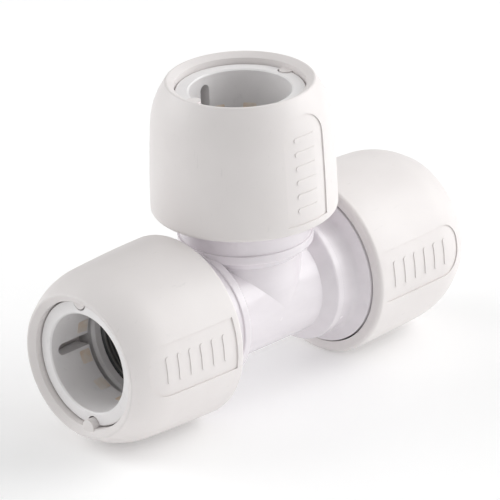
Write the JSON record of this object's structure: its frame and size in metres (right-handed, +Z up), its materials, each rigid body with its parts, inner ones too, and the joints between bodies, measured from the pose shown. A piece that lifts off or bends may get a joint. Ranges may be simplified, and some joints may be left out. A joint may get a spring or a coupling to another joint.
{
  "type": "push-fit tee",
  "caption": "Equal push-fit tee: a hollow plastic body with clip-on caps, releasable collets with steel teeth, spacer rings and O-rings in each mouth.",
  "frame": {"origin": "centre of the bounding box on the surface that the tee stands on, straight below the crossing of the port axes", "axes": "+X along the run to the right port, +Z up along the branch, -Y is the side that the panels of the caps face"},
  "size_m": [0.0694, 0.0278, 0.0486],
  "materials": {
    "body_plastic": "glossy, cool white",
    "cap_plastic": "satin, warm white",
    "collet_plastic": "satin white",
    "spacer_plastic": "matte, light grey",
    "seal_rubber": "matte black",
    "tooth_steel": "bright stainless"
  },
  "bodies": {
    "body": {"tee_body": "body_plastic", "left_cap": "cap_plastic", "left_spacer": "spacer_plastic", "left_o_ring": "seal_rubber", "right_cap": "cap_plastic", "right_spacer": "spacer_plastic", "right_o_ring": "seal_rubber", "branch_cap": "cap_plastic", "branch_spacer": "spacer_plastic", "branch_o_ring": "seal_rubber"},
    "left_collet_group": {"left_collet": "collet_plastic", "left_tooth_01": "tooth_steel", "left_tooth_02": "tooth_steel", "left_tooth_03": "tooth_steel", "left_tooth_04": "tooth_steel", "left_tooth_05": "tooth_steel", "left_tooth_06": "tooth_steel", "left_tooth_07": "tooth_steel", "left_tooth_08": "tooth_steel", "left_tooth_09": "tooth_steel", "left_tooth_10": "tooth_steel"},
    "right_collet_group": {"right_collet": "collet_plastic", "right_tooth_01": "tooth_steel", "right_tooth_02": "tooth_steel", "right_tooth_03": "tooth_steel", "right_tooth_04": "tooth_steel", "right_tooth_05": "tooth_steel", "right_tooth_06": "tooth_steel", "right_tooth_07": "tooth_steel", "right_tooth_08": "tooth_steel", "right_tooth_09": "tooth_steel", "right_tooth_10": "tooth_steel"},
    "branch_collet_group": {"branch_collet": "collet_plastic", "branch_tooth_01": "tooth_steel", "branch_tooth_02": "tooth_steel", "branch_tooth_03": "tooth_steel", "branch_tooth_04": "tooth_steel", "branch_tooth_05": "tooth_steel", "branch_tooth_06": "tooth_steel", "branch_tooth_07": "tooth_steel", "branch_tooth_08": "tooth_steel", "branch_tooth_09": "tooth_steel", "branch_tooth_10": "tooth_steel"}
  },
  "joints": [
    {"name": "left_collet_slide", "type": "slide", "parent": "body", "child": "left_collet_group", "axis": [1, 0, 0], "range_m": [0, 0.001]},
    {"name": "right_collet_slide", "type": "slide", "parent": "body", "child": "right_collet_group", "axis": [-1, 0, 0], "range_m": [0, 0.001]},
    {"name": "branch_collet_slide", "type": "slide", "parent": "body", "child": "branch_collet_group", "axis": [0, 0, -1], "range_m": [0, 0.001]}
  ]
}
